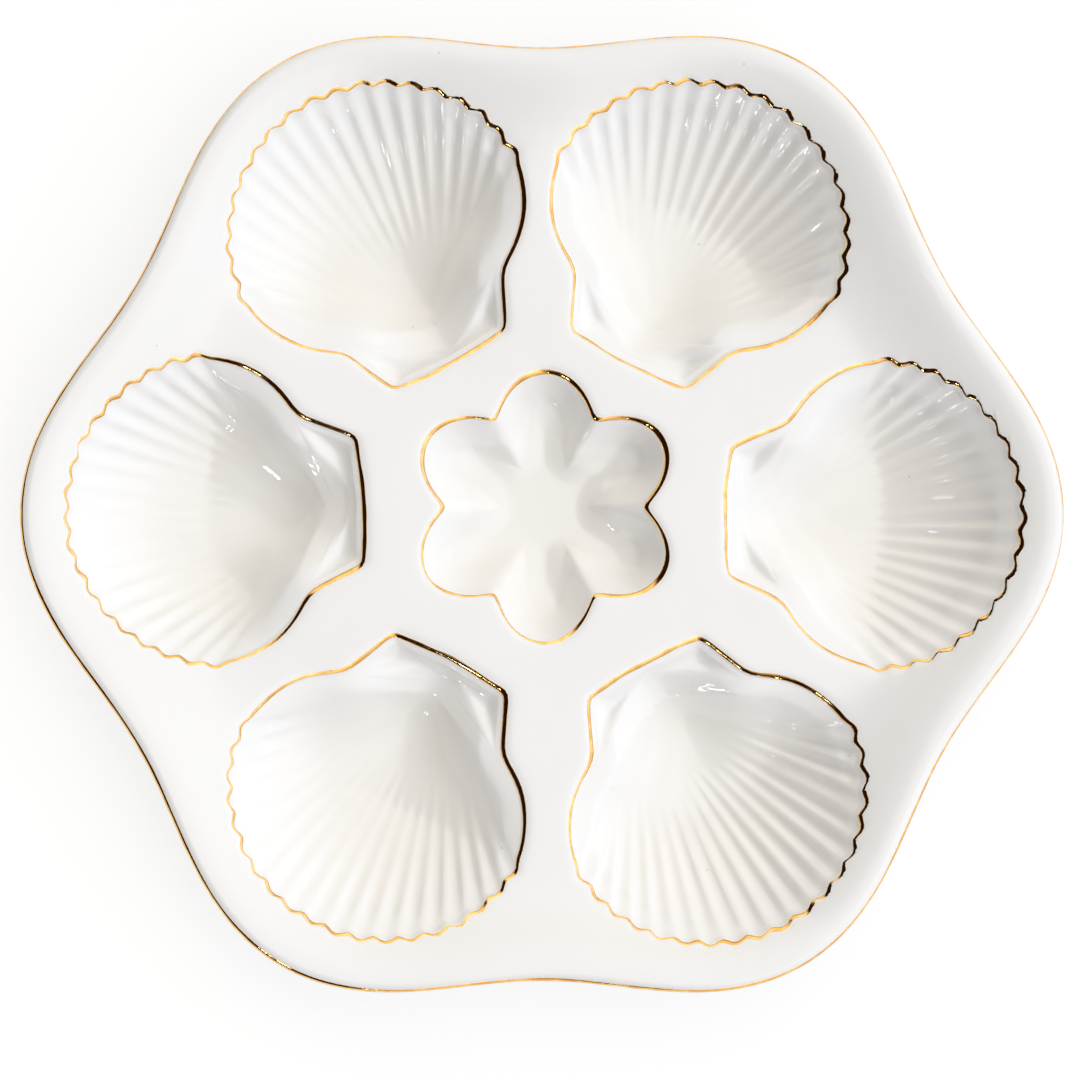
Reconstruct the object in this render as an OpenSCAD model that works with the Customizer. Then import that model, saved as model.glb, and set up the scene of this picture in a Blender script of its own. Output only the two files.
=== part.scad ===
// Oyster plate: a porcelain body with six scallop-shell wells round a six-lobed centre well,
// and a gilded line round the rim and round every well. Sizes are in millimetres.
//
// The body is one closed skin. Its plan is laced from loops of points: every shell well is a fan of
// rays from a point in its hollow, so a ray that meets the edge in the middle of a scallop also runs
// along the middle of a flute. Its heights come from a few formulas, one for each form: the deck and
// its rising rim, the bowl and the ears of a shell, the folds of the centre well, and the underside.

/* [Plate] */
// Width of the plate across two opposite lobes of its rim
plate_d = 260; // [254:1:290]
// Difference in radius between a lobe of the rim and the hollow beside it
rim_wave = 13.7; // [6:0.1:15]
// Height of the rim's crest above the flat deck
rim_rise = 5.5; // [2:0.1:9]
// Width of the band in which the deck rises to the rim's crest
rise_w = 36; // [28:0.5:42]
// Distance from the rim's crest to its outer edge
crest_in = 2.5; // [2:0.1:3.2]
// Drop from the rim's crest to its outer edge
edge_drop = 1.6; // [1:0.1:2]
// Thickness of the porcelain
wall = 3.8; // [3:0.1:5]

/* [Shell wells] */
// Distance from the widest part of the rim in to the middle of a shell's round end
shell_in = 50.7; // [49.5:0.1:53]
// Radius of a shell's round end, without its scallops
shell_r = 38.7; // [34:0.1:40]
// Depth of a shell's bowl below the flat deck
shell_depth = 14.5; // [9:0.5:18]
// Distance of the hinge line's ends from the middle of the round end
hinge_back = 34.3; // [31:0.1:35]
// Length of the straight hinge line
hinge_w = 33; // [26:0.5:38]
// How far the middle of the hinge line bows towards the plate's centre
hinge_bow = 1.2; // [0:0.1:2]
// Distance of the notches behind the ears from the middle of the round end
notch_back = 20.1; // [17:0.1:23]
// Width between the two notches
notch_w = 45.5; // [40:0.5:50]
// Distance of the umbo, where bowl and ears meet, from the middle of the round end
umbo_back = 31.9; // [28:0.1:33]
// Depth of the ears below the flat deck
ear_depth = 7; // [4:0.5:9]
// Number of flutes in a shell
flutes = 19; // [15:2:21]
// Depth of a flute below the ridges beside it
flute_depth = 0.95; // [0.3:0.05:1.3]
// How far a scallop of the edge swells beyond its ends
scallop = 0.95; // [0.3:0.05:1.3]
// Drop of the rounded lip, from the deck to the inner edge of the gilding
lip_drop = 1.2; // [0.8:0.1:1.6]

/* [Centre well] */
// Distance of the tip of a lobe from the centre well's middle
petal_r = 34.4; // [31:0.1:36]
// Distance of the folds between the lobes from the centre well's middle
fold_r = 26; // [22:0.1:28]
// Depth of the centre well below the flat deck
petal_depth = 13; // [8:0.5:15]

/* [Foot] */
// Distance from the widest part of the rim in to the middle of the foot's land
foot_in = 56; // [52:0.5:65]
// Width of the foot ring where it joins the body
foot_w = 5; // [4:0.1:7]
// Width of the flat land that the plate stands on
land_w = 2.4; // [1.6:0.1:3]
// Width and height of the bevels beside the land
land_h = 0.7; // [0.4:0.1:1]
// How far the foot stands below the shell wells
foot_h = 2.7; // [2:0.1:5]

/* [Gilding] */
// Width of the gilded lines round the wells
gilt_w = 1.4; // [1:0.1:1.8]
// Width of the gilded line over the rim
rim_gilt_w = 1.7; // [1.2:0.1:1.9]
// Greatest thickness of the gilding
gilt_t = 0.2; // [0.1:0.05:0.3]

/* [Hidden] */
// Shell wells, lobes of the rim and lobes of the centre well
wells = 6;
sector = 360/wells;
// The wells were set by hand: each one's slip outwards and to its left, and its turn in degrees
well_slips = [[1.5, 0], [-1.2, 2.2], [-0.5, -0.5], [0, -1.2], [-1.7, 0], [0.5, 2]];
well_turns = [-1.5, 3, -2, 3.5, 2, -1.5];
// The centre well's slip from the middle of the plate
petal_slip = [0.7, 1.8];
// Height of the flat deck above the table
deck_h = foot_h + wall + shell_depth;
// Distances from the plate's centre: the middle of a shell's round end, its hinge line and its notches
shell_at = plate_d/2 - shell_in;
hinge_at = shell_at - hinge_back;
notch_at = shell_at - notch_back;
// Diameter of the foot ring, through the middle of its land
foot_d = plate_d - 2*foot_in;
// How much later than evenly the deck rises towards the rim
rise_skew_share = 1.6;
// Angle, from a shell's axis, at which its scallops end
scallop_end = 88;
// Where the curve of a shell's shoulder is pulled to: along the shell, and out from its axis
pull_shares = [0.31, 0.93];
// Widths of the sloping walls in the ears and in the bowl
ear_wall_w = 7.5;
bowl_wall_w = 34;
// Width of the brow that falls from the ears' ridge, and its share of the fall into the bowl
brow_w = 9;
brow_share = 0.4;
// Distance from the ears' ridge at which the bowl is at its full depth
bowl_in = 32;
// Roundness of the umbo
umbo_round = 4;
// How sharply walls steepen to the edge, and the bowl drops behind the ears' ridge
wall_power = 2.4;
brow_power = 1.5;
// Distance of a shell's hollow, from which its rays fan out, from the middle of the round end
hollow_back = 18.3;
// Shares of the way from the hollow to the lip at which the loops of fine and of coarse points lie
fine_shares = [0.93, 0.84, 0.72, 0.57];
coarse_shares = [0.4, 0.22];
// Shares of the way from a shell's edge to the border of its sector
deck_shares = [0.3, 0.65];
// Share of the ray at which flutes start, and at which they are full
flute_shares = [0.3, 0.75];
// Share of the ray at which flutes fade again, and the share of their depth that is left at the lip
flute_end_shares = [0.67, 0.5];
// Shares of the centre well's radius: the loops inside the lip, then those of the floor
petal_shares = [0.9, 0.77, 0.6];
petal_floor_shares = [0.36];
// Where the centre well's floor ends, as shares of its radius, in a fold and in a lobe
petal_floor_ends_shares = [0.45, 0.8];
// Roundness of the folds
fold_round_share = 0.15;
// How sharply the centre well's wall steepens to its edge
petal_power = 1.8;
// Strip of deck round the centre well
collar_w = 2.6;
// How far the bulges of the underside reach beyond the wells
bulge_reach = 4.5;
// How sharply two bulges meet
join_power = 4;
// Half the width of the seat above the foot ring, as a share of the ring's width
seat_share = 0.7;
// Slope of the underside from this seat up to the deck, between two bulges
root_slope_share = 2.2;
// Radii of the loops inside the foot, as shares of the foot's inner radius
under_in_shares = [0.87, 0.73, 0.6];
// Shares of the width of the bulge's wall under the centre well at which the innermost loops lie
under_petal_shares = [0, 0.5, 1];
// Shares of the way from the foot to the rim at which the outer loops lie
under_out_shares = [0.15, 0.36, 0.58, 0.8, 1];
// Inset of the outermost loop of the underside
under_in = 5;
// Share of its width at which the middle loop of the rim's gilding lies
rim_gilt_share = 0.25;
// Inset and drop of the rim's lower rounding, as shares of the crest's inset and of the wall
round_in_share = 0.35;
round_drop_share = 0.86;
// Facets of a flute, of a hinge line, of the line of an ear, of a shoulder, and flutes beside each side
facets = 3;
hinge_n = 2;
ear_n = 2;
shoulder_n = 4;
side_flutes = 4;
// Facets of the rim and of the centre well's edge for each coarse facet
rim_facets = 2;
petal_facets = 3;
// How far the foot ring reaches up into the body
foot_root = 1.2;
// Smoothness of the foot ring
foot_fn = 96;
porcelain = [0.93, 0.92, 0.9];
gold = [0.83, 0.58, 0.2];

side_n = hinge_n + ear_n + shoulder_n;
line_n = ear_n + shoulder_n + side_flutes;
arc_n = flutes - 2*side_flutes;
fine_n = 2*side_n + facets*flutes;
coarse_n = 2*side_n + flutes;

// Small helpers
function unit(v) = v/norm(v);
function limit(x) = max(0, min(1, x));
function ease(x) = let (t = limit(x)) t*t*(3 - 2*t);
function blend(a, b, share) = a + (b - a)*share;
function turned(p, a) = [p[0]*cos(a) - p[1]*sin(a), p[0]*sin(a) + p[1]*cos(a)];
function polar(r, a) = r*[cos(a), sin(a)];
function at_height(p, z) = [p[0], p[1], z];

// Plan of the rim: its outer edge waves once for each well
function rim_r(a) = plate_d/2 - rim_wave/2*(1 - cos(wells*a));
function inset(p) = rim_r(atan2(p[1], p[0])) - norm(p);

// Height of the deck: flat, then rising to the crest, then rolling over to the rim's edge
function deck_z(p) =
    let (
        e = inset(p),
        up = limit((rise_w - e)/(rise_w - crest_in)),
        over = limit(1 - e/crest_in)
    )
    deck_h + rim_rise*ease(pow(up, rise_skew_share)) - edge_drop*(1 - sqrt(1 - over*over));

// Plan of a shell well, in its own frame: the first axis runs outwards, the second to the left
hinge_corner = [hinge_at, hinge_w/2];
notch = [notch_at, notch_w/2];
hollow = [shell_at - hollow_back, 0];
umbo = [shell_at - umbo_back, 0];
shell_middle = [shell_at, 0];
function arc_point(a) = shell_middle + polar(shell_r, a);
function hinge_point(share) = [hinge_at - hinge_bow*(1 - share*share), hinge_corner[1]*share];
function shoulder_point(t) =
    let (
        pull = [blend(notch_at, shell_at, pull_shares[0]), shell_r*pull_shares[1]],
        end = arc_point(scallop_end)
    )
    blend(blend(notch, pull, t), blend(pull, end, t), t);
// The left side, counted from the middle of the hinge line to the first scallop
function side_point(i) =
    i < hinge_n ? hinge_point(i/hinge_n)
    : i < hinge_n + ear_n ? blend(hinge_corner, notch, (i - hinge_n)/ear_n)
    : shoulder_point((i - hinge_n - ear_n)/shoulder_n);
function other_side(p) = [p[0], -p[1]];

// The edge without its scallops, once round to the left from the middle of the hinge line
plain_edge = concat(
    [for (i = [0:side_n - 1]) other_side(side_point(i))],
    [for (i = [0:facets*flutes]) arc_point(scallop_end*(2*i/(facets*flutes) - 1))],
    [for (i = [side_n - 1:-1:1]) side_point(i)]
);
// How much each of its points belongs to the middle of a flute: none on a ridge, 1 in the middle
swells = concat(
    [for (i = [0:side_n - 1]) 0],
    [for (i = [0:facets*flutes]) abs(sin(180*i/facets))],
    [for (i = [side_n - 1:-1:1]) 0]
);
// Which of them start a coarse facet
edge_keys = concat(
    [for (i = [0:side_n - 1]) i],
    [for (i = [0:flutes]) side_n + facets*i],
    [for (i = [1:side_n - 1]) side_n + facets*flutes + i]
);
inwards = [
    for (i = [0:fine_n - 1])
        let (along = plain_edge[(i + 1)%fine_n] - plain_edge[(i + fine_n - 1)%fine_n])
        unit([-along[1], along[0]])
];
edge = [for (i = [0:fine_n - 1]) plain_edge[i] - scallop*swells[i]*inwards[i]];
plain_lip = [for (i = [0:fine_n - 1]) plain_edge[i] + gilt_w*inwards[i]];
lip = [for (i = [0:fine_n - 1]) edge[i] + gilt_w*inwards[i]];

// Depth of a shell well. The ridge of the ears runs from the umbo to the two notches. Behind it the
// floor falls from the ears' depth to the bowl's, and along every edge a curved wall comes up.
function to_segment(p, a, b) =
    let (t = limit((p - a)*(b - a)/((b - a)*(b - a))))
    norm(p - blend(a, b, t));
function to_edge(p) =
    min([for (i = [0:fine_n - 1]) to_segment(p, plain_edge[i], plain_edge[(i + 1)%fine_n])]);
ridge_line = unit(notch - umbo);
function past_ridge(p) =
    (p[0] - umbo[0])*ridge_line[1] - (norm([p[1], umbo_round]) - umbo_round)*ridge_line[0];
function bowl_share(p) =
    let (
        brow = pow(limit(past_ridge(p)/brow_w), brow_power),
        bowl = 1 - pow(1 - limit(past_ridge(p)/bowl_in), wall_power)
    )
    blend(bowl, brow, brow_share);
function floor_z(p) = deck_h - blend(ear_depth, shell_depth, bowl_share(p));
function sunk_share(p) =
    let (w = blend(ear_wall_w, bowl_wall_w, bowl_share(p)))
    1 - pow(1 - limit((to_edge(p) - gilt_w)/w), wall_power);
// Flutes are full towards the edge and fade into the floor, and a little into the lip
function fluting(share) =
    let (
        rising = ease((share - flute_shares[0])/(flute_shares[1] - flute_shares[0])),
        fading = ease((share - flute_end_shares[0])/(1 - flute_end_shares[0]))
    )
    rising*blend(1, flute_end_shares[1], fading);

// A loop of a shell, as rows of: place, share sunk, height of the floor, and the cut of a flute
function shell_loop(plain, real, cuts) = [
    for (i = [0:len(plain) - 1]) [real[i], sunk_share(plain[i]), floor_z(plain[i]), cuts[i]]
];
function drawn_in(points, share) = [for (p = points) blend(hollow, p, share)];
function picked(list) = [for (i = edge_keys) list[i]];
shell_lip = shell_loop(plain_lip, lip, flute_depth*fluting(1)*swells);
shell_fine = [
    for (s = fine_shares) shell_loop(drawn_in(plain_lip, s), drawn_in(lip, s), flute_depth*fluting(s)*swells)
];
shell_coarse = [
    for (s = coarse_shares)
        let (points = drawn_in(picked(plain_lip), s))
        shell_loop(points, points, 0*picked(swells))
];
shell_hollow = shell_loop([hollow], [hollow], [0]);

// Places of a shell's points on the plate
function on_plate(p, k) =
    turned(shell_middle + well_slips[k] + turned(p - shell_middle, well_turns[k]), sector*k);
function edge_3d(k) = [for (q = edge) let (p = on_plate(q, k)) at_height(p, deck_z(p))];
function loop_3d(loop, k) = [
    for (q = loop)
        let (p = on_plate(q[0], k), top = deck_z(p) - lip_drop)
        at_height(p, blend(top, q[2], q[1]) - q[3])
];

// Centre well: lobes with rounded folds between them
function petal_edge_r(a) =
    let (wave = cos(wells*(a + sector/2)/2))
    fold_r + (petal_r - fold_r)*(sqrt(wave*wave + fold_round_share*fold_round_share) - fold_round_share)
        /(sqrt(1 + fold_round_share*fold_round_share) - fold_round_share);
function petal_z(r, a) =
    let (
        lobe = (petal_edge_r(a) - fold_r)/(petal_r - fold_r),
        end = blend(petal_floor_ends_shares[0], petal_floor_ends_shares[1], lobe),
        x = limit((r/(petal_edge_r(a) - gilt_w) - end)/(1 - end))
    )
    deck_h - petal_depth + (petal_depth - lip_drop)*pow(x, petal_power);

// Insets of the rim's loops: the inner edge, the middle and the outer edge of its gilding
rim_insets = [rim_gilt_w, rim_gilt_w*rim_gilt_share, 0];

// Rings round the whole plate: n points for each sector, starting at its right border
function ring_angles(n) = [for (i = [0:wells*n - 1]) sector*(i/n - 0.5)];
function crest_ring() = [
    for (a = ring_angles(arc_n)) let (p = polar(rim_r(a) - crest_in, a)) at_height(p, deck_z(p))
];
function rim_ring(e) = [
    for (a = ring_angles(rim_facets*arc_n)) let (p = polar(rim_r(a) - e, a)) at_height(p, deck_z(p))
];
function collar_ring() = [
    for (a = ring_angles(2*hinge_n))
        let (p = petal_slip + polar(petal_edge_r(a) + collar_w, a))
        at_height(p, deck_h)
];
function petal_ring(n, out, share) = [
    for (a = ring_angles(n))
        let (r = (petal_edge_r(a) - (out ? 0 : gilt_w))*share)
        at_height(petal_slip + polar(r, a), out ? deck_h : petal_z(r, a))
];
petal_n = 2*hinge_n*petal_facets;
collar = collar_ring();
crest = crest_ring();

// The border between two sectors runs from the collar to the crest, with one point for each facet of
// the shells beside it, at about the same distance from the plate's centre
function line_reach(m) =
    let (i = hinge_n + m, p = i < side_n ? side_point(i) : arc_point(scallop_end*(1 - 2*(i - side_n)/flutes)))
    p*[cos(sector/2), sin(sector/2)];
line_shares = [for (m = [0:line_n]) (line_reach(m) - line_reach(0))/(line_reach(line_n) - line_reach(0))];
function border(k) = [
    for (m = [1:line_n - 1])
        let (
            in = collar[(k + 1)%wells*2*hinge_n],
            out = crest[(k + 1)%wells*arc_n],
            p = blend([in[0], in[1]], [out[0], out[1]], line_shares[m])
        )
        at_height(p, deck_z(p))
];

// Underside: bulges under the wells, the foot's root, and a thin deck between them
function bulge(into, w) = 1 - pow(1 - limit((into + bulge_reach)/(w + bulge_reach)), wall_power);
function under_z(p) =
    let (
        base = deck_z(p) - wall,
        bowls = [
            for (k = [0:wells - 1])
                (base - foot_h)*bulge(shell_r - norm(p - on_plate(shell_middle, k)), bowl_wall_w)
        ],
        q = p - petal_slip,
        middle = petal_depth*bulge(petal_edge_r(atan2(q[1], q[0])) - norm(q), petal_r - fold_r),
        powers = [for (b = concat(bowls, [middle])) pow(b, join_power)],
        sunk = pow(powers*[for (b = powers) 1], 1/join_power),
        off_foot = max(0, abs(norm(p) - foot_d/2) - foot_w*seat_share)
    )
    min(max(base - sunk, foot_h), foot_h + root_slope_share*off_foot);
function under_ring(share_in, share_out) = [
    for (a = ring_angles(arc_n))
        let (
            seat_in = foot_d/2 - foot_w*seat_share,
            seat_out = foot_d/2 + foot_w*seat_share,
            r = share_in > 0 ? seat_in*share_in : blend(seat_out, rim_r(a) - under_in, share_out),
            p = polar(r, a)
        )
        at_height(p, under_z(p))
];
function under_petal_ring(share) = [
    for (a = ring_angles(arc_n))
        let (
            r = petal_edge_r(a) + bulge_reach - (petal_r - fold_r + bulge_reach)*share,
            p = petal_slip + polar(r, a)
        )
        at_height(p, under_z(p))
];
// The rim's lower rounding
function round_ring() = [
    for (a = ring_angles(rim_facets*arc_n))
        let (p = polar(rim_r(a) - crest_in*round_in_share, a))
        at_height(p, deck_h + rim_rise - wall*round_drop_share)
];

// Loops of points are laced together. Each facet of the inner loop, from one key to the next, meets
// one or more facets of the outer loop. The faces look up where both loops run to the left.
function lace(inner, outer, keys) =
    let (n = len(inner), count = len(outer))
    [
        for (i = [0:n - 1])
            let (
                first = keys[i],
                span = (keys[(i + 1)%n] - first + count)%count,
                half = ceil(span/2),
                next = inner[(i + 1)%n]
            )
            each concat(
                [for (q = [0:span - 1]) [
                    q < half ? inner[i] : next,
                    outer[(first + q + 1)%count],
                    outer[(first + q)%count]
                ]],
                [[inner[i], next, outer[(first + half)%count]]]
            )
    ];
function every(step, n) = [for (i = [0:n - 1]) step*i];
function band(inner, outer) = lace(inner, outer, every(1, len(inner)));
function fan(middle, outer) = [
    for (i = [0:len(outer) - 1]) [middle, outer[(i + 1)%len(outer)], outer[i]]
];
function flipped(faces) = [for (f = faces) [f[2], f[1], f[0]]];
function numbers(first, n) = [for (i = [0:n - 1]) first + i];

// The body's points, block by block: six shells with the deck round them, the borders between the
// sectors, the crest, the collar, the centre well, the rim, and the underside
function shell_points(k) =
    let (
        edge_k = edge_3d(k),
        around = around_3d(k)
    )
    concat(
        edge_k,
        loop_3d(shell_lip, k),
        [for (loop = shell_fine) each loop_3d(loop, k)],
        [for (loop = shell_coarse) each loop_3d(loop, k)],
        loop_3d(shell_hollow, k),
        [for (s = deck_shares) each [
            for (j = [0:coarse_n - 1])
                let (p = edge_k[edge_keys[j]], q = around[j], m = blend([p[0], p[1]], [q[0], q[1]], s))
                at_height(m, deck_z(m))
        ]]
    );
shell_n = (2 + len(fine_shares))*fine_n + (len(coarse_shares) + len(deck_shares))*coarse_n + 1;
borders_at = wells*shell_n;
crest_at = borders_at + wells*(line_n - 1);
collar_at = crest_at + wells*arc_n;
petal_at = collar_at + wells*2*hinge_n;
petal_coarse_at = petal_at + (2 + len(petal_shares))*wells*petal_n;
rim_at = petal_coarse_at + len(petal_floor_shares)*wells*2*hinge_n + 1;
under_at = rim_at + (len(rim_insets) + 1)*wells*rim_facets*arc_n;

// The sector's border as seen from the shell: collar, right border, crest, left border, collar
function around(k, collar_list, border_right, crest_list, border_left) =
    let (n = 2*hinge_n, next = (k + 1)%wells)
    concat(
        [for (i = [hinge_n:-1:0]) collar_list[n*k + i]],
        border_right,
        [for (i = [0:arc_n - 1]) crest_list[arc_n*k + i]],
        [crest_list[arc_n*next]],
        [for (m = [line_n - 2:-1:0]) border_left[m]],
        [collar_list[n*next]],
        [for (i = [n - 1:-1:hinge_n + 1]) collar_list[n*k + i]]
    );
function around_3d(k) = around(k, collar, border((k + wells - 1)%wells), crest, border(k));
function around_numbers(k) = around(
    k,
    numbers(collar_at, wells*2*hinge_n),
    numbers(borders_at + (k + wells - 1)%wells*(line_n - 1), line_n - 1),
    numbers(crest_at, wells*arc_n),
    numbers(borders_at + k*(line_n - 1), line_n - 1)
);

function body_points() = concat(
    [for (k = [0:wells - 1]) each shell_points(k)],
    [for (k = [0:wells - 1]) each border(k)],
    crest,
    collar,
    petal_ring(petal_n, true, 1),
    petal_ring(petal_n, false, 1),
    [for (s = petal_shares) each petal_ring(petal_n, false, s)],
    [for (s = petal_floor_shares) each petal_ring(2*hinge_n, false, s)],
    [at_height(petal_slip, deck_h - petal_depth)],
    [for (e = rim_insets) each rim_ring(e)],
    round_ring(),
    [for (s = under_out_shares) each under_ring(0, s)],
    under_ring(0, 0),
    under_ring(1, 0),
    [for (s = under_in_shares) each under_ring(s, 0)],
    [for (s = under_petal_shares) each under_petal_ring(s)],
    [at_height(petal_slip, under_z(petal_slip))]
);

function shell_faces(k) =
    let (
        start = k*shell_n,
        fine = [for (i = [0:1 + len(fine_shares)]) numbers(start + i*fine_n, fine_n)],
        coarse_at = start + len(fine)*fine_n,
        coarse = [for (i = [0:len(coarse_shares) - 1]) numbers(coarse_at + i*coarse_n, coarse_n)],
        middle = coarse_at + len(coarse)*coarse_n,
        deck = [for (i = [0:len(deck_shares) - 1]) numbers(middle + 1 + i*coarse_n, coarse_n)]
    )
    concat(
        [for (i = [1:len(fine) - 1]) each band(fine[i], fine[i - 1])],
        lace(coarse[0], fine[len(fine) - 1], edge_keys),
        [for (i = [1:len(coarse) - 1]) each band(coarse[i], coarse[i - 1])],
        fan(middle, coarse[len(coarse) - 1]),
        unlace(deck[0], fine[0], edge_keys),
        [for (i = [1:len(deck) - 1]) each band(deck[i - 1], deck[i])],
        band(deck[len(deck) - 1], around_numbers(k))
    );
// The same lacing where the loop with fewer points is the outer one
function unlace(outer, inner, keys) = flipped(lace(outer, inner, keys));

function petal_faces() =
    let (
        count = wells*petal_n,
        few = wells*2*hinge_n,
        fine = [for (i = [0:1 + len(petal_shares)]) numbers(petal_at + i*count, count)],
        coarse = [for (i = [0:len(petal_floor_shares) - 1]) numbers(petal_coarse_at + i*few, few)],
        keys = every(petal_facets, few)
    )
    concat(
        unlace(numbers(collar_at, few), fine[0], keys),
        [for (i = [1:len(fine) - 1]) each band(fine[i], fine[i - 1])],
        lace(coarse[0], fine[len(fine) - 1], keys),
        fan(petal_coarse_at + len(coarse)*few, coarse[len(coarse) - 1])
    );

function rim_and_under_faces() =
    let (
        count = wells*rim_facets*arc_n,
        few = wells*arc_n,
        rim = [for (i = [0:len(rim_insets)]) numbers(rim_at + i*count, count)],
        under_n = len(under_out_shares) + 2 + len(under_in_shares) + len(under_petal_shares),
        out_n = len(under_out_shares),
        under = [for (i = [0:under_n - 1]) numbers(under_at + i*few, few)],
        keys = every(rim_facets, few),
        outer_loops = [for (i = [out_n - 1:-1:0]) under[i]],
        inner_loops = [for (i = [out_n:under_n - 1]) under[i]],
        loops = concat(outer_loops, inner_loops)
    )
    concat(
        lace(numbers(crest_at, few), rim[0], keys),
        band(rim[0], rim[1]),
        band(rim[1], rim[2]),
        flipped(band(rim[3], rim[2])),
        flipped(lace(loops[0], rim[3], keys)),
        [for (i = [1:len(loops) - 1]) each flipped(band(loops[i], loops[i - 1]))],
        flipped(fan(under_at + under_n*few, loops[len(loops) - 1]))
    );

// The foot ring, turned round the plate's axis, with its land flat on the table
module foot_ring() {
    rotate_extrude($fn = foot_fn)
        translate([foot_d/2, 0])
            polygon([
                [-land_w/2, 0],
                [land_w/2, 0],
                [land_w/2 + land_h, land_h],
                [foot_w/2, foot_h],
                [foot_w/2, foot_h + foot_root],
                [-foot_w/2, foot_h + foot_root],
                [-foot_w/2, foot_h],
                [-land_w/2 - land_h, land_h],
            ]);
}

module plate_body() {
    color(porcelain)
        union() {
            polyhedron(
                points = body_points(),
                faces = concat(
                    [for (k = [0:wells - 1]) each shell_faces(k)],
                    petal_faces(),
                    rim_and_under_faces()
                ),
                convexity = 10
            );
            foot_ring();
        }
}

// A gilded line lies on the body's own facets and swells a little in the middle of its width.
// The loops are those of the body under it, from the inner to the outer one.
module gilding(loops) {
    n = len(loops[0]);
    last = len(loops) - 1;
    crown = [
        for (i = [0:n - 1])
            let (
                across = loops[last][i] - loops[0][i],
                along = loops[last][(i + 1)%n] - loops[last][(i + n - 1)%n],
                under = last > 1 ? loops[1][i] : (loops[0][i] + loops[last][i])/2
            )
            under + gilt_t*unit(cross(across, along))
    ];
    rows = [for (i = [0:last]) numbers(i*n, n)];
    top = numbers((last + 1)*n, n);
    color(gold)
        polyhedron(
            points = concat([for (loop = loops) each loop], crown),
            faces = concat(
                [for (i = [1:last]) each flipped(band(rows[i - 1], rows[i]))],
                band(rows[0], top),
                band(top, rows[last])
            ),
            convexity = 10
        );
}

module rim_gilding() {
    gilding([for (e = rim_insets) rim_ring(e)]);
}

module centre_well_gilding() {
    gilding([petal_ring(petal_n, false, 1), petal_ring(petal_n, true, 1)]);
}

module shell_gilding(k) {
    gilding([loop_3d(shell_lip, k), edge_3d(k)]);
}

plate_body();
rim_gilding();
centre_well_gilding();
shell_gilding(0);  // shell_gilding_1
shell_gilding(1);  // shell_gilding_2
shell_gilding(2);  // shell_gilding_3
shell_gilding(3);  // shell_gilding_4
shell_gilding(4);  // shell_gilding_5
shell_gilding(5);  // shell_gilding_6
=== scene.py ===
# %% [markdown]
# # An oyster plate of glazed porcelain with gilded edges
# The real plate is one body of white porcelain: six wells in the form of a scallop shell round a
# lobed middle well, a wavy raised rim, and a foot ring underneath. A painter then draws a gold
# line by hand round every well and over the rim, and the gold is fired on.
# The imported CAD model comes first, as a fixed frame. Every surface below is worked out from the
# same driving sizes as the CAD, only with many more points, so it lies in the same place. Only the
# relief inside the wells is gentler here, as the photograph shows it, and the bulges underneath
# follow it.

import bpy
import numpy as np
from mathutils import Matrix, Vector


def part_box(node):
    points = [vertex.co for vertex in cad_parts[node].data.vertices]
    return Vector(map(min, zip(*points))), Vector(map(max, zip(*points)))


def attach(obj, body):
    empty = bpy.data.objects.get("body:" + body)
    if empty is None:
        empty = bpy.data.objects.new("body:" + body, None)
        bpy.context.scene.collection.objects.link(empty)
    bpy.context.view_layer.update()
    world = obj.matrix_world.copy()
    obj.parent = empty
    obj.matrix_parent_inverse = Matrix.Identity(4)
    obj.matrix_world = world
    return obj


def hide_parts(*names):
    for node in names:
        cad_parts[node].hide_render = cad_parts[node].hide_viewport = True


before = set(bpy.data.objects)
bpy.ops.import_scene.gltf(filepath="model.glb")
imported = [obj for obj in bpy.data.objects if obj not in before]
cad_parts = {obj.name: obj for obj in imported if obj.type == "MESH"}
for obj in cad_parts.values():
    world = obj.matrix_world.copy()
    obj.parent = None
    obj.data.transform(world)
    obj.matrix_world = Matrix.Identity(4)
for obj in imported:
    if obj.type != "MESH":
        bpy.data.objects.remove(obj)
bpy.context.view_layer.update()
print("CAD nodes:", ", ".join(sorted(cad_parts)))

# %% [markdown]
# ## Sizes and small helpers
# Sizes are in millimetres and become metres when a mesh is made. The plate's width and the height
# of its deck are measured on the frame. The other sizes of the plan, the lips, the rim and the
# foot repeat the named values of the CAD source, but the scallops swell a little more. Inside the
# wells the relief is the scene's own: ears, flutes and middle well are shallower.
# A place on the plan could be a pair of numbers, but here it is one complex number: its real part
# runs to the right and its imaginary part up the picture. Turning a place is then one
# multiplication, and its distance from the middle is its absolute value.

# %% Sizes of the plate
mm = 0.001
wells = 6
plate_low, plate_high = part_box("plate_body")
plate_d = (plate_high.x - plate_low.x) / mm
deck_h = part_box("centre_well_gilding")[1].z / mm
shell_depth, ear_depth, petal_depth, wall, foot_h = 14.5, 4.2, 10.4, 3.8, 2.7
print(f"The plate is {plate_d:.1f} mm wide and its deck is {deck_h:.1f} mm above the table")


# %% Helpers
def limit(x):
    """Cuts off what is below 0 or above 1."""
    return np.clip(x, 0.0, 1.0)


def ease(x):
    """Goes from 0 to 1 with a level start and a level end: 3x squared less 2x cubed."""
    x = limit(x)
    return x * x * (3 - 2 * x)


def blend(a, b, share):
    """The place that is this share of the way from a to b."""
    return a + (b - a) * share


def turned(p, degrees):
    """Turns places on the plan to the left about the origin."""
    return p * np.exp(1j * np.radians(degrees))


def curved_up(x, power):
    """A wall's curve, steep at 0 and level at 1: 1 less the power of what is left."""
    return 1 - (1 - limit(x)) ** power


def softened(rows, passes):
    """Averages every point with its neighbours along closed rows, a quarter from each side."""
    for _ in range(passes):
        rows = 0.5 * rows + 0.25 * np.roll(rows, 1, axis=-1) + 0.25 * np.roll(rows, -1, axis=-1)
    return rows


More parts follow.
